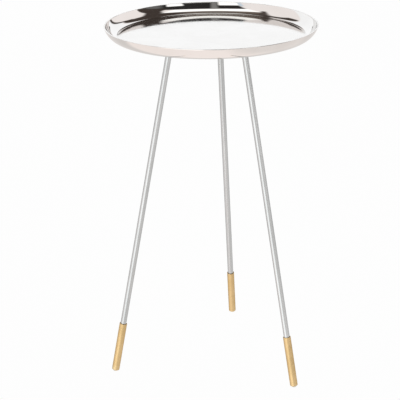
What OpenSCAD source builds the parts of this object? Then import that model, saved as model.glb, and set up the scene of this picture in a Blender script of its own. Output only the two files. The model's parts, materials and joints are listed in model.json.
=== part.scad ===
// Round tray side table on three splayed tubular legs that stand in long brass ferrules.
// Millimetres, +Z up. The origin is on the floor, under the middle of the tray.

/* [Tray] */
// Outside diameter of the tray at its rim
tray_d = 364; // [320:1:400]
// Height of the rim above the floor
table_h = 628; // [560:1:700]
// Depth of the tray, from the top of the rim to its underside
tray_depth = 20.6; // [19:0.1:23]
// Thickness of the tray's floor
floor_t = 2.4; // [2:0.1:3]
// Thickness of the tray's wall where it meets the lip, measured level
wall_t = 2.2; // [2.1:0.1:3]
// Radius that rounds the lip's two top edges
lip_r = 0.6; // [0.5:0.1:1]
// Half-width of the ellipse that the inside of the wall follows, up from the level floor
wall_run = 22; // [20:1:26]
// Half-height of that ellipse; it is more than the tray's depth, so the wall flares up to the lip
wall_rise = 28; // [24:1:32]

/* [Tray fixing] */
// Height of the cast bosses under the tray, which the mounting plate bears on
boss_h = 6; // [5.5:0.5:8]
// Outside diameter of the mounting plate
plate_d = 190; // [180:1:200]
// Thickness of the mounting plate
plate_t = 3; // [2.5:0.5:4]
// Diameter of the hole in the middle of the mounting plate
plate_hole_d = 60; // [40:1:80]
// Number of screws that hold the plate to the tray
screw_count = 6; // [3, 6]
// Radius of the circle that the screws stand on
screw_circle_r = 80; // [78:0.5:82]

/* [Legs] */
// Lean of each leg from upright, in degrees
splay = 11.1; // [10:0.1:12]
// Distance from the table's axis to the point where a leg's axis meets the floor
foot_r = 190; // [186:1:194]
// Outside diameter of the leg tube
leg_d = 10.5; // [9.5:0.5:11]
// Wall thickness of the leg tube
leg_wall = 1.5; // [1:0.1:1.6]

/* [Ferrules] */
// Outside diameter of the ferrule
ferrule_d = 13.5; // [13.4:0.1:15]
// Length of the ferrule
ferrule_l = 92; // [60:1:120]
// Radius that rounds the ferrule's closed end
ferrule_end_r = 1.6; // [1:0.1:2.7]
// Gap along the leg between the floor and the ferrule's end, which the glide bridges
ferrule_lift = 1.6; // [1.5:0.1:3]
// Diameter of the glide's head
glide_d = 7.6; // [6:0.1:7.8]

/* [Hidden] */
$fn = 96;

leg_count = 3;
first_leg_angle = 90;

// Tray levels and radii
rim_r = tray_d / 2;
underside_z = table_h - tray_depth;
floor_z = underside_z + floor_t;
ellipse_z = floor_z + wall_rise;
lip_z = table_h - lip_r;
outer_end = asin((lip_z - ellipse_z) / (wall_rise + floor_t));
inner_end = asin((lip_z - ellipse_z) / wall_rise);
floor_r = rim_r - (wall_run + wall_t) * cos(outer_end);
lip_inner_r = floor_r + wall_run * cos(inner_end);

// Bosses and the M5 screws in them
boss_r = 7;
boss_draft = 0.6;
screw_r = 2.5;
screw_hole_r = 2.6;
screw_clear_r = 2.75;
screw_l = 10;
screw_hole_l = boss_h + 0.8;
head_r = 4.75;
head_h = 2.75;
hex_across = 3.4;
hex_depth = 1.6;
washer_r = 5.5;
washer_t = 1;
plate_top_z = underside_z - boss_h;
plate_z = plate_top_z - plate_t;
plate_chamfer = 0.5;

// Sockets for the legs: turned bushes with an M8 thread along the leg, welded into the plate
socket_r = 9;
socket_below = 8;
socket_above = 4;
socket_chamfer = 1;
weld_h = 4;
weld_w = 3.4;
stud_r = 4;
thread_clear = 0.05;

// Distances along a leg's axis, measured up from the floor
plate_at = plate_z / cos(splay);
socket_end = plate_at - socket_below;
leg_washer_t = 1;
collar_t = 3;
collar_end = socket_end - leg_washer_t - collar_t;
stud_thread_l = 12;
plug_l = 22;
plug_r = leg_d / 2 - leg_wall;
end_wall = 6;
tube_foot = ferrule_lift + end_wall;

// Ferrule mouth, and the recess and hole for the glide
mouth_r = leg_d / 2 + 0.6;
mouth_depth = 1.5;
mouth_edge = 0.4;
glide_sunk = 1.4;
glide_r = glide_d / 2;
glide_stem_r = 1.5;
glide_stem_l = 3.2;

// Points of an arc about a centre, from one angle to another; the radii differ for an ellipse
function arc(centre, rx, ry, from, to, steps) =
    [for (i = [0 : steps]) let (a = from + (to - from) * i / steps)
        centre + [rx * cos(a), ry * sin(a)]];

function leg_angle(i) = first_leg_angle + (i - 1) * 360 / leg_count;

// Places its children on a leg's axis: their +Z runs up the leg, and zero is on the floor
module on_leg(i) {
    rotate([0, 0, leg_angle(i)])
        translate([foot_r, 0, 0])
            rotate([0, -splay, 0])
                children();
}

module on_screws() {
    for (k = [0 : screw_count - 1])
        rotate([0, 0, k * 360 / screw_count])
            translate([screw_circle_r, 0, 0])
                children();
}

// Half section of the dish: level floor, flared wall between two ellipses, and a rounded lip
module dish_section() {
    wall_steps = 14;
    lip_steps = 6;
    centre = [floor_r, ellipse_z];
    polygon(concat(
        [[0, underside_z]],
        arc(centre, wall_run + wall_t, wall_rise + floor_t, -90, outer_end, wall_steps),
        arc([rim_r - lip_r, lip_z], lip_r, lip_r, 15, 90, lip_steps),
        arc([lip_inner_r + lip_r, lip_z], lip_r, lip_r, 90, 165, lip_steps),
        arc(centre, wall_run, wall_rise, inner_end, -90, wall_steps),
        [[0, floor_z]]
    ));
}

module tray() {
    color("gainsboro")
        difference() {
            union() {
                rotate_extrude() dish_section();
                on_screws()
                    translate([0, 0, plate_top_z])
                        cylinder(h = boss_h + floor_t / 2, r1 = boss_r, r2 = boss_r + boss_draft);
            }
            on_screws()
                translate([0, 0, plate_top_z - 1])
                    cylinder(h = screw_hole_l + 1, r = screw_hole_r);
        }
}

module plate_section() {
    inner = plate_hole_d / 2;
    outer = plate_d / 2;
    polygon([
        [inner, plate_z], [outer - plate_chamfer, plate_z],
        [outer, plate_z + plate_chamfer], [outer, plate_top_z - plate_chamfer],
        [outer - plate_chamfer, plate_top_z], [inner, plate_top_z]
    ]);
}

module mounting_plate() {
    color("dimgray")
        difference() {
            rotate_extrude() plate_section();
            on_screws()
                translate([0, 0, plate_z - 1])
                    cylinder(h = plate_t + 2, r = screw_clear_r);
            for (i = [1 : leg_count])
                on_leg(i)
                    translate([0, 0, plate_at - 10])
                        cylinder(h = 20, r = socket_r);
        }
}

// Button-head screw, pointing up through its washer and the plate into the boss
module plate_screws() {
    color("silver")
        on_screws()
            translate([0, 0, plate_z - washer_t])
                difference() {
                    union() {
                        cylinder(h = screw_l, r = screw_r);
                        mirror([0, 0, 1]) rotate_extrude() button_section();
                    }
                    translate([0, 0, -head_h - 1])
                        cylinder(h = hex_depth + 1, d = hex_across / cos(30), $fn = 6);
                }
}

module button_section() {
    flat_r = 2.6;
    polygon(concat(
        [[0, 0]],
        arc([flat_r, 0], head_r - flat_r, head_h, 0, 90, 8),
        [[0, head_h]]
    ));
}

module plate_washers() {
    color("silver")
        on_screws()
            translate([0, 0, plate_z - washer_t])
                difference() {
                    cylinder(h = washer_t, r = washer_r);
                    translate([0, 0, -1]) cylinder(h = washer_t + 2, r = screw_r + 0.15);
                }
}

// The bush stands through the plate, is faced level above it, and has a weld bead below it
module leg_socket(i) {
    color("slategray")
        difference() {
            intersection() {
                union() {
                    on_leg(i)
                        translate([0, 0, socket_end]) {
                            cylinder(h = socket_chamfer, r1 = socket_r - socket_chamfer, r2 = socket_r);
                            translate([0, 0, socket_chamfer]) cylinder(h = 30, r = socket_r);
                        }
                    weld_bead(i);
                }
                translate([0, 0, (plate_top_z + socket_above) / 2])
                    cube([3 * rim_r, 3 * rim_r, plate_top_z + socket_above], center = true);
            }
            on_leg(i)
                translate([0, 0, socket_end - 1])
                    cylinder(h = 40, r = stud_r + thread_clear);
        }
}

// The bead is level with the plate, centred where the leg's axis passes through it
module weld_bead(i) {
    middle_z = plate_z - weld_h / 2;
    rotate([0, 0, leg_angle(i)])
        translate([foot_r - middle_z * tan(splay), 0, plate_z - weld_h])
            cylinder(h = weld_h, r1 = socket_r + 0.2, r2 = socket_r + weld_w);
}

// Threaded above the collar, with a plain plug below it that is pressed into the tube
module leg_stud(i) {
    top = collar_end + collar_t + stud_thread_l;
    foot = collar_end - plug_l;
    color("lightslategray")
        on_leg(i)
            rotate_extrude()
                polygon([
                    [0, foot], [plug_r - 0.8, foot], [plug_r, foot + 0.8], [plug_r, collar_end],
                    [leg_d / 2, collar_end], [leg_d / 2, collar_end + collar_t],
                    [stud_r, collar_end + collar_t], [stud_r, top - 1], [stud_r - 1, top], [0, top]
                ]);
}

module leg_washer(i) {
    color("whitesmoke")
        on_leg(i)
            translate([0, 0, socket_end - leg_washer_t])
                difference() {
                    cylinder(h = leg_washer_t, r = socket_r - socket_chamfer);
                    translate([0, 0, -1]) cylinder(h = leg_washer_t + 2, r = stud_r + 0.2);
                }
}

module leg_tube(i) {
    color("lightgray")
        on_leg(i)
            translate([0, 0, tube_foot])
                difference() {
                    cylinder(h = collar_end - tube_foot, d = leg_d);
                    translate([0, 0, -1])
                        cylinder(h = collar_end - tube_foot + 2, r = plug_r);
                }
}

// Half section of the closed brass cup, with its end at zero
module ferrule_section() {
    outer = ferrule_d / 2;
    polygon(concat(
        [[glide_stem_r, glide_sunk], [glide_r, glide_sunk], [glide_r, 0]],
        arc([outer - ferrule_end_r, ferrule_end_r], ferrule_end_r, ferrule_end_r, -90, 0, 12),
        arc([outer - mouth_edge, ferrule_l - mouth_edge], mouth_edge, mouth_edge, 0, 90, 4),
        [
            [mouth_r, ferrule_l], [mouth_r, ferrule_l - mouth_depth],
            [leg_d / 2, ferrule_l - mouth_depth], [leg_d / 2, end_wall],
            [0, end_wall], [0, glide_sunk + glide_stem_l], [glide_stem_r, glide_sunk + glide_stem_l]
        ]
    ));
}

module ferrule(i) {
    color("burlywood")
        on_leg(i)
            translate([0, 0, ferrule_lift])
                rotate_extrude() ferrule_section();
}

// Plastic glide on a stem, trimmed level so that it rests flat on the floor
module foot_glide(i) {
    head_top = ferrule_lift + glide_sunk;
    color("ivory")
        intersection() {
            on_leg(i) {
                translate([0, 0, head_top - glide_r]) cylinder(h = glide_r, r = glide_r);
                translate([0, 0, head_top - 1]) cylinder(h = glide_stem_l + 1, r = glide_stem_r);
            }
            rotate([0, 0, leg_angle(i)])
                translate([foot_r, 0, 10])
                    cube([40, 40, 20], center = true);
        }
}

tray();
mounting_plate();
plate_screws();
plate_washers();
for (i = [1 : leg_count]) {
    leg_socket(i);
    leg_stud(i);
    leg_washer(i);
    leg_tube(i);
    ferrule(i);
    foot_glide(i);
}
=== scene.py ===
"""Looks of the three-legged tray side table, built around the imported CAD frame. Metres, +Z up."""
import json
import math
from collections import namedtuple

import bmesh
import bpy
from mathutils import Matrix, Vector


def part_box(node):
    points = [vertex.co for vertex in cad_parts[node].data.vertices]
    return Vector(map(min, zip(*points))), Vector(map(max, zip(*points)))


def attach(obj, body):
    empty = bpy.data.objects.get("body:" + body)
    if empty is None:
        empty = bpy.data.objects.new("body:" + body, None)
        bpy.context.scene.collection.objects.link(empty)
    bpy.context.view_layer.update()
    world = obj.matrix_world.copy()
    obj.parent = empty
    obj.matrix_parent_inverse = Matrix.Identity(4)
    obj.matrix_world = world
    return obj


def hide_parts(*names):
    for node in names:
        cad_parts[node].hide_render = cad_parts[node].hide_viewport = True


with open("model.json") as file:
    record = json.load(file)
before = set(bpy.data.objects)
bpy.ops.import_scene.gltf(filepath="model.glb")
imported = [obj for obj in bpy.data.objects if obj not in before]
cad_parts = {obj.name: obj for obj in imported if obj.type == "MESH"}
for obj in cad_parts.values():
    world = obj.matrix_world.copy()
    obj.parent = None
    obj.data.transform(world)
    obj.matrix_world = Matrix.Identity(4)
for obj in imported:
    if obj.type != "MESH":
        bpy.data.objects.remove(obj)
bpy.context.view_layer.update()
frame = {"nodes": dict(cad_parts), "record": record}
MM = 0.001

# ---------------------------------------------------------------- sizes taken from the frame

mounts = {m["name"]: Vector(m["pos_m"]) for m in frame["record"]["mounts"]}
tray_low, tray_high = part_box("tray")
RIM_R = tray_high.x
RIM_Z = tray_high.z
LEVEL_Z = mounts["tray_floor"].z
BOSS_Z = tray_low.z
PLATE_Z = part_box("mounting_plate")[0].z
FLOOR_T = 2.4 * MM
UNDERSIDE_Z = LEVEL_Z - FLOOR_T
WALL_T = 2.2 * MM
WALL_RUN = 22 * MM
WALL_RISE = 28 * MM
LIP_R = 0.6 * MM

BOSS_R = 7 * MM
SCREW_COUNT = 6
SCREW_CIRCLE_R = 80 * MM
SCREW_HOLE_R = 2.6 * MM

LEAN = math.radians(11.1)
LEG_R = 5.25 * MM
BORE_R = 3.75 * MM
SOCKET_R = 9 * MM
FERRULE_R = 6.75 * MM
FERRULE_LIFT = 1.6 * MM
FERRULE_END_R = 1.6 * MM
FERRULE_WALL_END = 6 * MM
LEGS = (1, 2, 3)
# Spacing of the three legs' places in the grain pattern, so that no two legs look alike
GRAIN_STEP = 2.0
# Number of flat sides round each turned shape
TRAY_SEGMENTS = 360
LEG_SEGMENTS = 64
BOSS_SEGMENTS = 48


def leg_turn(leg):
    foot = mounts[f"foot_{leg}"]
    return math.atan2(foot.y, foot.x)


def leg_matrix(leg):
    """Frame of one leg: +Z runs up its axis, +X points outwards, and zero is on the floor."""
    return (
        Matrix.Translation(mounts[f"foot_{leg}"])
        @ Matrix.Rotation(leg_turn(leg), 4, "Z")
        @ Matrix.Rotation(-LEAN, 4, "Y")
    )


def top_along_leg(node, radius):
    """How far up the leg's axis the square-cut upper end of a node is."""
    return (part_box(node)[1].z - radius * math.sin(LEAN)) / math.cos(LEAN)


# ---------------------------------------------------------------- camera

CAMERA_TURN = math.radians(11.5)
CAMERA_BACK = 2.141
CAMERA_HEIGHT = 1.112
CAMERA_YAW = math.radians(-0.6)
CAMERA_PITCH = math.radians(20.58)
CAMERA_ROLL = math.radians(-0.7)
CAMERA_LENS = 115.1


def make_camera():
    """Stands off the table at the photographed angle: turned about it, yawed, pitched and rolled."""
    data = bpy.data.cameras.new("camera")
    data.lens = CAMERA_LENS
    data.sensor_width = 36
    data.clip_start = 0.05
    data.clip_end = 100
    camera = bpy.data.objects.new("camera", data)
    bpy.context.scene.collection.objects.link(camera)
    camera.matrix_world = (
        Matrix.Rotation(CAMERA_TURN, 4, "Z")
        @ Matrix.Translation((0, -CAMERA_BACK, CAMERA_HEIGHT))
        @ Matrix.Rotation(-CAMERA_YAW, 4, "Z")
        @ Matrix.Rotation(math.radians(90) - CAMERA_PITCH, 4, "X")
        @ Matrix.Rotation(CAMERA_ROLL, 4, "Z")
    )
    bpy.context.scene.camera = camera


make_camera()

# ---------------------------------------------------------------- mesh helpers


def arc(centre, radii, start, end, steps):
    """Points from one angle to another, in degrees, on a circle or an upright ellipse."""
    points = []
    for i in range(steps + 1):
        angle = math.radians(start + (end - start) * i / steps)
        points.append((centre[0] + radii[0] * math.cos(angle), centre[1] + radii[1] * math.sin(angle)))
    return points


def held(profile, near=0.25 * MM):
    """Adds a point just inside each end of every long straight, so flats stay flat when smoothed."""
    out = []
    for a, b in zip(profile, profile[1:]):
        out.append(a)
        run = math.dist(a, b)
        if run > 4 * near:
            for share in (near / run, 1 - near / run):
                out.append((a[0] + (b[0] - a[0]) * share, a[1] + (b[1] - a[1]) * share))
    return out + [profile[-1]]


def lathe(mesh, profile, segments, place=Matrix.Identity(4), closed=False, seed=0.0):
    """Turns a half section about local Z into an existing bmesh; seed shifts its grain coordinates."""
    grain = mesh.verts.layers.float_vector.get("grain") or mesh.verts.layers.float_vector.new("grain")
    rings = []
    for r, z in profile:
        count = 1 if r < 1e-7 else segments
        ring = []
        for k in range(count):
            angle = 2 * math.pi * k / segments
            local = Vector((r * math.cos(angle), r * math.sin(angle), z))
            vert = mesh.verts.new(place @ local)
            vert[grain] = local + Vector((0, 0, seed))
            ring.append(vert)
        rings.append(ring)
    pairs = list(zip(rings, rings[1:]))
    if closed:
        pairs.append((rings[-1], rings[0]))
    for low, high in pairs:
        for k in range(segments):
            n = (k + 1) % segments
            corners = [low[k % len(low)], low[n % len(low)], high[n % len(high)], high[k % len(high)]]
            corners = list(dict.fromkeys(corners))
            if len(corners) > 2:
                mesh.faces.new(corners)


def finish_piece(name, mesh, material, replaces=None, sharp=35):
    """Makes a smooth-shaded object of a bmesh, which rides on the one body of the table."""
    bmesh.ops.recalc_face_normals(mesh, faces=mesh.faces)
    data = bpy.data.meshes.new(name)
    mesh.to_mesh(data)
    mesh.free()
    data.polygons.foreach_set("use_smooth", [True] * len(data.polygons))
    data.set_sharp_from_angle(angle=math.radians(sharp))
    piece = bpy.data.objects.new(name, data)
    bpy.context.scene.collection.objects.link(piece)
    data.materials.append(material)
    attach(piece, "root")
    if replaces:
        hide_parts(replaces)
    return piece


# ---------------------------------------------------------------- node helpers


class Nodes:
    """Adds shader nodes to a tree; an input is a plain value or another node's output."""

    def __init__(self, tree):
        self.tree = tree

    def put(self, socket, value):
        if isinstance(value, bpy.types.NodeSocket):
            self.tree.links.new(value, socket)
        else:
            socket.default_value = value

    def add(self, kind, inputs=None, **settings):
        node = self.tree.nodes.new("ShaderNode" + kind)
        for name, value in settings.items():
            setattr(node, name, value)
        for name, value in (inputs or {}).items():
            self.put(node.inputs[name], value)
        return node

    def math(self, operation, *values):
        node = self.add("Math", operation=operation)
        for socket, value in zip(node.inputs, values):
            self.put(socket, value)
        return node.outputs[0]

    def vector(self, operation, *values):
        node = self.add("VectorMath", operation=operation)
        for socket, value in zip(node.inputs, values):
            self.put(socket, value)
        return node.outputs[0]

    def ramp(self, value, low, high, start=0.0, end=1.0):
        """Eases from start to end as value goes from low to high."""
        inputs = {"Value": value, "From Min": low, "From Max": high, "To Min": start, "To Max": end}
        return self.add("MapRange", inputs, interpolation_type="SMOOTHSTEP").outputs["Result"]

    def blend(self, share, a, b, mode="MIX"):
        """Colour a where share is 0 and b where it is 1."""
        node = self.add("Mix", data_type="RGBA", blend_type=mode)
        self.put(node.inputs["Factor"], share)
        for name, value in (("A", a), ("B", b)):
            socket = next(s for s in node.inputs if s.name == name and s.type == "RGBA")
            self.put(socket, value if isinstance(value, bpy.types.NodeSocket) else (*value, 1))
        return next(s for s in node.outputs if s.type == "RGBA")

    def noise(self, place, scale, detail=3.0, rough=0.5):
        """Noise about 0.5; scale is in cells per metre, one number or one for each axis."""
        if isinstance(scale, tuple):
            place = self.vector("MULTIPLY", place, scale)
            scale = 1.0
        inputs = {"Vector": place, "Scale": scale, "Detail": detail, "Roughness": rough}
        return self.add("TexNoise", inputs).outputs["Fac"]


def new_material(name, metallic, **constants):
    """A material, its node helper and its shader; constants go straight onto the shader's sockets."""
    material = bpy.data.materials.new(name)
    material.use_nodes = True
    nodes = Nodes(material.node_tree)
    shader = material.node_tree.nodes["Principled BSDF"]
    shader.inputs["Metallic"].default_value = metallic
    for socket, value in constants.items():
        shader.inputs[socket.replace("_", " ")].default_value = value
    return material, nodes, shader


def object_place(nodes):
    return nodes.add("TexCoord").outputs["Object"]


def grain_place(nodes):
    return nodes.add("Attribute", attribute_name="grain").outputs["Vector"]


def add_bump(nodes, shader, height, depth, strength=1.0):
    """Relief on the shader: height from 0 to 1 stands for depth, in metres."""
    inputs = {"Height": height, "Distance": depth, "Strength": strength}
    nodes.put(shader.inputs["Normal"], nodes.add("Bump", inputs).outputs["Normal"])


# ---------------------------------------------------------------- materials


def polished_nickel():
    """Mirror polish with faint buffing lines and haze; the flat underside is left turned and satin."""
    material, nodes, shader = new_material("polished_nickel", 1.0)
    place = object_place(nodes)
    parts = nodes.add("SeparateXYZ", {"Vector": place})
    level = nodes.vector("MULTIPLY", place, (1, 1, 0))
    radius = nodes.add("VectorMath", {0: level}, operation="LENGTH").outputs["Value"]
    height = parts.outputs["Z"]
    angle = nodes.math("ARCTAN2", parts.outputs["Y"], parts.outputs["X"])
    below = nodes.ramp(height, UNDERSIDE_Z + 3 * MM, UNDERSIDE_Z + 0.5 * MM)

    cloud = nodes.noise(place, 22.0, 2.0)
    haze = nodes.noise(place, 70.0, 4.0)
    across = nodes.math("MULTIPLY", radius, 2600.0)
    polar = nodes.add("CombineXYZ", {"X": across, "Y": angle, "Z": height})
    lines = nodes.noise(polar.outputs["Vector"], 1.0, 2.0)
    scratch = nodes.ramp(nodes.noise(place, (160.0, 2400.0, 400.0), 1.0), 0.68, 0.74)
    turned = nodes.noise(polar.outputs["Vector"], 0.35, 3.0)

    colour = nodes.blend(nodes.ramp(cloud, 0.3, 0.7), (0.715, 0.705, 0.69), (0.745, 0.737, 0.725))
    satin = nodes.blend(turned, (0.50, 0.49, 0.475), (0.60, 0.59, 0.575))
    nodes.put(shader.inputs["Base Color"], nodes.blend(below, colour, satin))

    polish = nodes.ramp(haze, 0.35, 0.8, 0.022, 0.05)
    polish = nodes.math("ADD", polish, nodes.math("MULTIPLY", lines, 0.012))
    polish = nodes.math("ADD", polish, nodes.math("MULTIPLY", scratch, 0.03))
    rough = nodes.ramp(turned, 0.3, 0.7, 0.26, 0.4)
    mixed = nodes.math("MULTIPLY_ADD", nodes.math("SUBTRACT", rough, polish), below, polish)
    nodes.put(shader.inputs["Roughness"], mixed)

    wave = nodes.noise(place, 14.0, 1.0)
    relief = nodes.math("MULTIPLY_ADD", nodes.math("MULTIPLY", turned, below), 0.1, wave)
    add_bump(nodes, shader, relief, 0.08 * MM)
    return material


def satin_steel():
    """Tube drawn and brushed along its length, a little duller and darker in patches."""
    material, nodes, shader = new_material("satin_steel", 1.0, Specular_Tint=(0.6, 0.6, 0.6, 1))
    place = grain_place(nodes)
    hair = nodes.noise(place, (1500.0, 1500.0, 14.0), 3.0)
    streak = nodes.noise(place, (420.0, 420.0, 5.0), 2.0)
    patch = nodes.noise(place, (60.0, 60.0, 26.0), 3.0)
    colour = nodes.blend(nodes.ramp(streak, 0.3, 0.7), (0.49, 0.52, 0.53), (0.59, 0.615, 0.625))
    colour = nodes.blend(nodes.ramp(patch, 0.45, 0.75, 0.0, 0.4), colour, (0.46, 0.485, 0.49))
    nodes.put(shader.inputs["Base Color"], colour)
    dull = nodes.ramp(patch, 0.4, 0.8, 0.0, 0.06)
    rough = nodes.math("ADD", nodes.ramp(hair, 0.3, 0.7, 0.18, 0.26), dull)
    nodes.put(shader.inputs["Roughness"], rough)
    add_bump(nodes, shader, hair, 0.02 * MM)
    return material


def satin_brass():
    """Turned brass under clear lacquer: fine rings, warm and dark clouds, and a brighter worn foot."""
    material, nodes, shader = new_material(
        "satin_brass", 1.0, Coat_Weight=0.05, Coat_Roughness=0.3, Specular_Tint=(0.55, 0.45, 0.3, 1)
    )
    place = grain_place(nodes)
    along = nodes.add("SeparateXYZ", {"Vector": place}).outputs["Z"]
    along = nodes.math("FRACT", nodes.math("DIVIDE", along, GRAIN_STEP))
    along = nodes.math("MULTIPLY", along, GRAIN_STEP)
    rings = nodes.noise(place, (30.0, 30.0, 2200.0), 2.0)
    cloud = nodes.noise(place, (45.0, 45.0, 30.0), 4.0, 0.6)
    fleck = nodes.ramp(nodes.noise(place, 420.0, 3.0), 0.66, 0.74)
    colour = nodes.blend(nodes.ramp(cloud, 0.3, 0.7), (0.69, 0.515, 0.275), (0.62, 0.455, 0.225))
    colour = nodes.blend(nodes.ramp(rings, 0.4, 0.7, 0.0, 0.35), colour, (0.70, 0.58, 0.31))
    colour = nodes.blend(nodes.math("MULTIPLY", fleck, 0.3), colour, (0.36, 0.27, 0.13))
    worn = nodes.math("MULTIPLY", nodes.ramp(along, 14 * MM, 3 * MM), nodes.ramp(cloud, 0.4, 0.6))
    colour = nodes.blend(worn, colour, (0.72, 0.60, 0.36))
    nodes.put(shader.inputs["Base Color"], colour)
    dull = nodes.ramp(cloud, 0.3, 0.8, 0.0, 0.08)
    rough = nodes.math("ADD", nodes.ramp(rings, 0.3, 0.7, 0.38, 0.46), dull)
    nodes.put(shader.inputs["Roughness"], rough)
    add_bump(nodes, shader, rings, 0.02 * MM)
    return material


def powder_coat():
    """Black powder coat with fine orange peel, dustier in patches."""
    material, nodes, shader = new_material("powder_coat", 0.0)
    place = object_place(nodes)
    peel = nodes.noise(place, 900.0, 2.0)
    dust = nodes.noise(place, 35.0, 5.0, 0.6)
    speck = nodes.ramp(nodes.noise(place, 1600.0, 1.0), 0.66, 0.72)
    colour = nodes.blend(nodes.ramp(dust, 0.45, 0.8), (0.018, 0.018, 0.019), (0.05, 0.049, 0.047))
    colour = nodes.blend(nodes.math("MULTIPLY", speck, 0.25), colour, (0.12, 0.12, 0.12))
    nodes.put(shader.inputs["Base Color"], colour)
    nodes.put(shader.inputs["Roughness"], nodes.ramp(dust, 0.3, 0.8, 0.36, 0.62))
    add_bump(nodes, shader, peel, 0.05 * MM)
    return material


def turned_steel():
    """Bare turned bush, straw-tinted by the weld's heat just below the plate."""
    material, nodes, shader = new_material("turned_steel", 1.0)
    place = object_place(nodes)
    height = nodes.add("SeparateXYZ", {"Vector": place}).outputs["Z"]
    rings = nodes.noise(place, (60.0, 60.0, 2600.0), 2.0)
    cloud = nodes.noise(place, 150.0, 4.0)
    heat = nodes.ramp(height, PLATE_Z - 6 * MM, PLATE_Z - 2 * MM)
    heat = nodes.math("MULTIPLY", heat, nodes.ramp(cloud, 0.3, 0.6, 0.5, 1.0))
    colour = nodes.blend(rings, (0.42, 0.42, 0.425), (0.58, 0.58, 0.585))
    colour = nodes.blend(heat, colour, (0.40, 0.30, 0.17))
    nodes.put(shader.inputs["Base Color"], colour)
    nodes.put(shader.inputs["Roughness"], nodes.ramp(cloud, 0.3, 0.7, 0.28, 0.45))
    add_bump(nodes, shader, rings, 0.03 * MM)
    return material


def weld_steel():
    """Weld bead: straw and blue heat tints in patches over grey, with a skin of fine scale."""
    material, nodes, shader = new_material("weld_steel", 1.0)
    place = object_place(nodes)
    tint = nodes.noise(place, 160.0, 3.0)
    scale = nodes.noise(place, 1300.0, 4.0)
    colour = nodes.blend(nodes.ramp(tint, 0.35, 0.5), (0.34, 0.25, 0.15), (0.28, 0.27, 0.27))
    colour = nodes.blend(nodes.ramp(tint, 0.55, 0.7), colour, (0.14, 0.17, 0.25))
    nodes.put(shader.inputs["Base Color"], colour)
    nodes.put(shader.inputs["Roughness"], nodes.ramp(scale, 0.3, 0.7, 0.34, 0.6))
    add_bump(nodes, shader, scale, 0.06 * MM)
    return material


def bright_zinc():
    """Zinc plate with pale blue and yellow passivation clouds, and tool marks."""
    material, nodes, shader = new_material("bright_zinc", 1.0)
    place = object_place(nodes)
    cloud = nodes.noise(place, 130.0, 3.0)
    mark = nodes.noise(place, 2200.0, 2.0)
    colour = nodes.blend(nodes.ramp(cloud, 0.35, 0.65), (0.66, 0.69, 0.74), (0.74, 0.71, 0.62))
    colour = nodes.blend(nodes.ramp(mark, 0.5, 0.8, 0.0, 0.3), colour, (0.45, 0.45, 0.46))
    nodes.put(shader.inputs["Base Color"], colour)
    nodes.put(shader.inputs["Roughness"], nodes.ramp(mark, 0.3, 0.7, 0.2, 0.36))
    add_bump(nodes, shader, mark, 0.02 * MM)
    return material


def moulded_plastic(name, light, dark, dirt_top):
    """Off-white plastic with a fine moulded skin, greyed by dirt below dirt_top."""
    material, nodes, shader = new_material(name, 0.0)
    place = object_place(nodes)
    height = nodes.add("SeparateXYZ", {"Vector": place}).outputs["Z"]
    mottle = nodes.noise(place, 260.0, 4.0)
    skin = nodes.noise(place, 2400.0, 2.0)
    low = nodes.ramp(height, dirt_top, dirt_top - 2 * MM)
    dirt = nodes.math("MULTIPLY", low, nodes.ramp(mottle, 0.3, 0.7, 0.3, 1.0))
    colour = nodes.blend(nodes.ramp(mottle, 0.35, 0.7), light, dark)
    colour = nodes.blend(dirt, colour, (0.3, 0.28, 0.25))
    nodes.put(shader.inputs["Base Color"], colour)
    nodes.put(shader.inputs["Roughness"], nodes.ramp(mottle, 0.3, 0.7, 0.38, 0.55))
    add_bump(nodes, shader, skin, 0.02 * MM)
    return material


TRAY_METAL = polished_nickel()
LEG_STEEL = satin_steel()
FERRULE_BRASS = satin_brass()
PLATE_COAT = powder_coat()
SOCKET_STEEL = turned_steel()
WELD_STEEL = weld_steel()
ZINC = bright_zinc()
NYLON = moulded_plastic("nylon", (0.80, 0.78, 0.71), (0.72, 0.70, 0.62), 0.0)
GLIDE_PLASTIC = moulded_plastic("glide_plastic", (0.76, 0.75, 0.70), (0.66, 0.64, 0.58), 1.6 * MM)

# ---------------------------------------------------------------- tray


def make_tray():
    """Dish with a level floor, a flared wall between two ellipses, and a rounded lip."""
    wall_z = LEVEL_Z + WALL_RISE
    lip_z = RIM_Z - LIP_R
    outer = (WALL_RUN + WALL_T, WALL_RISE + FLOOR_T)
    inner = (WALL_RUN, WALL_RISE)
    outer_end = math.degrees(math.asin((lip_z - wall_z) / outer[1]))
    inner_end = math.degrees(math.asin((lip_z - wall_z) / inner[1]))
    floor_r = RIM_R - outer[0] * math.cos(math.radians(outer_end))
    lip_inner_r = floor_r + inner[0] * math.cos(math.radians(inner_end))
    profile = (
        [(0, UNDERSIDE_Z), (floor_r * 0.5, UNDERSIDE_Z)]
        + arc((floor_r, wall_z), outer, -90, outer_end, 40)
        + arc((RIM_R - LIP_R, lip_z), (LIP_R, LIP_R), 12, 90, 8)
        + arc((lip_inner_r + LIP_R, lip_z), (LIP_R, LIP_R), 90, 168, 8)
        + arc((floor_r, wall_z), inner, inner_end, -90, 40)
        + [(floor_r * 0.5, LEVEL_Z), (0, LEVEL_Z)]
    )
    mesh = bmesh.new()
    lathe(mesh, profile, TRAY_SEGMENTS)
    finish_piece("tray_dish", mesh, TRAY_METAL, replaces="tray")


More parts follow.
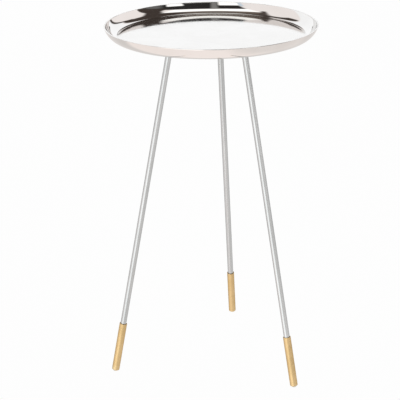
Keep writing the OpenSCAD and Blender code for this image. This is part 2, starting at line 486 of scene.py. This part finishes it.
def make_bosses():
    """Six drafted bosses under the dish, each with a filleted root and a screw hole."""
    edge = 0.4 * MM
    root = 1.8 * MM
    tall = UNDERSIDE_Z - BOSS_Z
    stub = tall + 0.7 * FLOOR_T
    hole = tall + 0.5 * FLOOR_T
    side = BOSS_R + 0.35 * MM
    profile = (
        [(SCREW_HOLE_R, hole), (SCREW_HOLE_R, edge), (SCREW_HOLE_R + edge, 0)]
        + arc((BOSS_R - edge, edge), (edge, edge), -90, 0, 4)
        + arc((side + root, tall - root), (root, root), 180, 90, 8)
        + [(side + root, stub), (0, stub), (0, hole)]
    )
    mesh = bmesh.new()
    for k in range(SCREW_COUNT):
        turn = Matrix.Rotation(2 * math.pi * k / SCREW_COUNT, 4, "Z")
        place = turn @ Matrix.Translation((SCREW_CIRCLE_R, 0, BOSS_Z))
        lathe(mesh, profile, BOSS_SEGMENTS, place, closed=True)
    finish_piece("tray_bosses", mesh, TRAY_METAL)


make_tray()
make_bosses()

# ---------------------------------------------------------------- legs


def make_leg(leg):
    """Straight tube with its upper end slightly broken."""
    foot = FERRULE_LIFT + FERRULE_WALL_END
    top = top_along_leg(f"leg_tube_{leg}", LEG_R)
    edge = 0.3 * MM
    profile = held([
        (BORE_R, foot),
        (LEG_R, foot),
        (LEG_R, top - edge),
        (LEG_R - edge, top),
        (BORE_R, top),
        (BORE_R, foot),
    ])
    mesh = bmesh.new()
    lathe(mesh, profile[:-1], LEG_SEGMENTS, leg_matrix(leg), closed=True, seed=leg * GRAIN_STEP)
    finish_piece(f"leg_{leg}", mesh, LEG_STEEL, replaces=f"leg_tube_{leg}")


def make_ferrule(leg):
    """Long closed cup with a rounded end, a recess for the glide and a shadow gap round its mouth."""
    foot = FERRULE_LIFT
    lip = 0.4 * MM
    gap = 0.6 * MM
    gap_depth = 1.5 * MM
    recess_r = 3.8 * MM
    recess_top = foot + 1.4 * MM
    top = top_along_leg(f"ferrule_{leg}", FERRULE_R - lip)
    end_r = FERRULE_END_R
    profile = held(
        [(0, recess_top), (recess_r, recess_top), (recess_r, foot)]
        + arc((FERRULE_R - end_r, foot + end_r), (end_r, end_r), -90, 0, 12)
        + arc((FERRULE_R - lip, top - lip), (lip, lip), 0, 90, 5)
        + [(LEG_R + gap, top), (LEG_R + gap, top - gap_depth), (LEG_R, top - gap_depth)]
        + [(LEG_R, foot + FERRULE_WALL_END), (0, foot + FERRULE_WALL_END)]
    )
    mesh = bmesh.new()
    lathe(mesh, profile, LEG_SEGMENTS, leg_matrix(leg), seed=leg * GRAIN_STEP)
    finish_piece(f"ferrule_cup_{leg}", mesh, FERRULE_BRASS, replaces=f"ferrule_{leg}")


def make_weld(leg):
    """Rippled bead that runs round the socket where it meets the underside of the plate."""
    ripples = 26
    segments = 8 * ripples
    arc_points = 13
    bead_r = 2.3 * MM
    mesh = bmesh.new()
    grain = mesh.verts.layers.float_vector.new("grain")
    foot = mounts[f"foot_{leg}"]
    reach = foot.length - (PLATE_Z - bead_r) * math.tan(LEAN)
    centre = Matrix.Rotation(leg_turn(leg), 4, "Z") @ Vector((reach, 0, PLATE_Z))
    rings = []
    for k in range(segments):
        turn = 2 * math.pi * k / segments
        phase = k * ripples / segments
        wave = 0.5 + 0.5 * math.cos(2 * math.pi * (phase - math.floor(phase)) ** 0.7)
        size = bead_r * (1 + 0.12 * wave + 0.05 * math.sin(3 * turn + leg))
        along = SOCKET_R + bead_r + 0.25 * MM * math.sin(5 * turn + 2 * leg)
        ring = []
        for step in range(arc_points):
            slope = math.pi * step / (arc_points - 1)
            r = along + size * math.cos(slope)
            z = -size * math.sin(slope) + 0.4 * MM
            vert = mesh.verts.new(centre + Vector((r * math.cos(turn), r * math.sin(turn), z)))
            vert[grain] = vert.co
            ring.append(vert)
        rings.append(ring)
    for k in range(segments):
        low = rings[k]
        high = rings[(k + 1) % segments]
        for step in range(arc_points):
            n = (step + 1) % arc_points
            mesh.faces.new([low[step], low[n], high[n], high[step]])
    finish_piece(f"weld_{leg}", mesh, WELD_STEEL, sharp=60)


for leg_number in LEGS:
    make_leg(leg_number)
    make_ferrule(leg_number)
    make_weld(leg_number)

# ---------------------------------------------------------------- finishes of the CAD nodes that stay

NODE_FINISHES = {
    "mounting_plate": PLATE_COAT,
    "plate_screws": ZINC,
    "plate_washers": ZINC,
    "leg_socket": SOCKET_STEEL,
    "leg_stud": ZINC,
    "leg_washer": NYLON,
    "foot_glide": GLIDE_PLASTIC,
}
for name, node in frame["nodes"].items():
    for start, finish in NODE_FINISHES.items():
        if name.startswith(start):
            node.data.materials.clear()
            node.data.materials.append(finish)

# ---------------------------------------------------------------- floor

# The floor is a pale sheet that is lit from itself, so no shadow falls on it
PAPER_WHITE = (0.992, 0.992, 0.992)
PAPER_SHADE = (0.982, 0.982, 0.982)
FLOOR_R = 14
FLOOR_SEGMENTS = 96


def make_floor():
    """Pale floor, clear from below so that the underside of the table can be looked at."""
    mesh = bmesh.new()
    lathe(mesh, [(0, 0), (1, 0), (FLOOR_R, 0)], FLOOR_SEGMENTS)
    bmesh.ops.recalc_face_normals(mesh, faces=mesh.faces)
    if mesh.faces[:][0].normal.z < 0:
        bmesh.ops.reverse_faces(mesh, faces=mesh.faces)
    data = bpy.data.meshes.new("floor")
    mesh.to_mesh(data)
    mesh.free()
    floor = bpy.data.objects.new("floor", data)
    bpy.context.scene.collection.objects.link(floor)
    material, nodes, unlit = new_material("floor", 0.0)
    nodes.tree.nodes.remove(unlit)
    cloud = nodes.noise(object_place(nodes), 0.6, 2.0)
    paper = nodes.add("Emission", {"Color": nodes.blend(cloud, PAPER_WHITE, PAPER_SHADE)}).outputs[0]
    clear = nodes.add("BsdfTransparent").outputs[0]
    below = nodes.add("NewGeometry").outputs["Backfacing"]
    mixed = nodes.add("MixShader", {0: below, 1: paper, 2: clear}).outputs[0]
    nodes.put(nodes.tree.nodes["Material Output"].inputs["Surface"], mixed)
    data.materials.append(material)
    floor.visible_glossy = False


make_floor()

# ---------------------------------------------------------------- studio light

# A card is a soft-edged lit or dark panel of the studio, which the metals mirror. It keeps its place in
# the room when the camera moves. Its side is the angle to the right of the line between the camera and
# the table. Its up is the angle from the horizon behind the camera: 90 is overhead, 180 is the far
# horizon, and less than 0 is below. These, its half sizes, its turn and its soft edge are in degrees.
Card = namedtuple("Card", "side up half_side half_up turn soft colour")
WHITE = (1.55, 1.54, 1.52)
BACKDROP = (1.19, 1.20, 1.215)
PAPER = (1.15, 1.05, 1.01)
WALLS = (1.11, 1.045, 1.025)
BROWN = (0.066, 0.051, 0.044)
ARCH = (0.18, 0.145, 0.12)
DARK = (0.032, 0.030, 0.029)
GREY = (0.26, 0.255, 0.25)
CARDS = (
    Card(0, -90, 90, 92, 0, 4, PAPER),
    Card(0, -158, 90, 36, 0, 18, (0.84, 0.80, 0.78)),
    Card(62, -80, 42, 62, 0, 24, (0.97, 0.91, 0.88)),
    Card(-27, 190, 63, 45, 0, 4, BACKDROP),
    Card(35, 160, 2.5, 22, -4, 3, BROWN),
    Card(2, 176, 22, 4, 0, 3, BROWN),
    Card(26, 35, 54, 38, 0, 4, DARK),
    Card(62, 80, 24, 18, 0, 5, BROWN),
    Card(66, 38, 12, 26, 15, 10, (0.17, 0.165, 0.16)),
    Card(8, 114, 26, 17, 0, 5, BROWN),
    Card(-18, 106, 9, 10, -33, 6, ARCH),
    Card(-2, 110, 12, 13, 0, 8, ARCH),
    Card(2, 136, 34, 7, 0, 4, BROWN),
    Card(-26, 107, 2.5, 19, -33, 4, (0.10, 0.08, 0.07)),
    Card(36, 100, 9, 34, 38, 6, BROWN),
    Card(0, 86, 29, 12, 0, 6, WHITE),
    Card(0, 146, 4.5, 14, 0, 3, BACKDROP),
    Card(-3, 46, 3, 28, 0, 4, GREY),
    Card(14, 10, 14, 12, 0, 4, (0.5, 0.48, 0.46)),
    Card(20, -4, 70, 13, 0, 5, (1.02, 0.96, 0.93)),
    Card(-31, -17, 23, 27, 0, 8, (1.75, 1.71, 1.68)),
    Card(8, -20, 7, 26, 0, 6, (0.88, 0.85, 0.82)),
    Card(-18, 22, 10.5, 22, 0, 4, WHITE),
    Card(40, 26, 9, 19, 12, 4, WHITE),
    Card(-30, 32, 2, 18, 0, 3, (0.75, 0.85, 0.95)),
)
# Strength of the even light on matt surfaces
AMBIENT = 1.3


def make_world():
    """Even soft light for matt surfaces, the cards for shiny ones, and plain white behind the table."""
    world = bpy.data.worlds.new("studio")
    bpy.context.scene.world = world
    world.use_nodes = True
    nodes = Nodes(world.node_tree)
    facing = nodes.add("VectorRotate", {"Angle": -CAMERA_TURN}, rotation_type="Z_AXIS")
    nodes.put(facing.inputs["Vector"], nodes.add("TexCoord").outputs["Generated"])
    parts = nodes.add("SeparateXYZ", {"Vector": facing.outputs["Vector"]}).outputs
    side = nodes.math("DEGREES", nodes.math("ARCSINE", parts["X"]))
    nearer = nodes.math("MULTIPLY", parts["Y"], -1.0)
    up = nodes.math("DEGREES", nodes.math("ARCTAN2", parts["Z"], nearer))
    place = nodes.add("CombineXYZ", {"X": side, "Y": up}).outputs["Vector"]
    colour = WALLS
    for card in CARDS:
        settings = {
            "Vector": place,
            "Location": (card.side, card.up, 0),
            "Rotation": (0, 0, math.radians(card.turn)),
        }
        local = nodes.add("Mapping", settings, vector_type="TEXTURE").outputs["Vector"]
        sizes = (card.half_side, card.half_up, 0)
        inside = nodes.vector("SUBTRACT", sizes, nodes.vector("ABSOLUTE", local))
        inside = nodes.add("SeparateXYZ", {"Vector": inside}).outputs
        half = card.soft / 2
        shares = [nodes.ramp(inside[axis], -half, half) for axis in "XY"]
        colour = nodes.blend(nodes.math("MULTIPLY", *shares), colour, card.colour)
    ray = nodes.add("LightPath").outputs
    plain = nodes.add("Background", {"Color": (1, 1, 1, 1), "Strength": AMBIENT}).outputs[0]
    behind = nodes.add("Background", {"Color": (*PAPER_WHITE, 1)}).outputs[0]
    plain = nodes.add("MixShader", {0: ray["Is Camera Ray"], 1: plain, 2: behind}).outputs[0]
    cards = nodes.add("Background", {"Color": colour}).outputs[0]
    mixed = nodes.add("MixShader", {0: ray["Is Glossy Ray"], 1: plain, 2: cards}).outputs[0]
    nodes.put(world.node_tree.nodes["World Output"].inputs["Surface"], mixed)


make_world()
bpy.context.scene.view_settings.view_transform = "Standard"
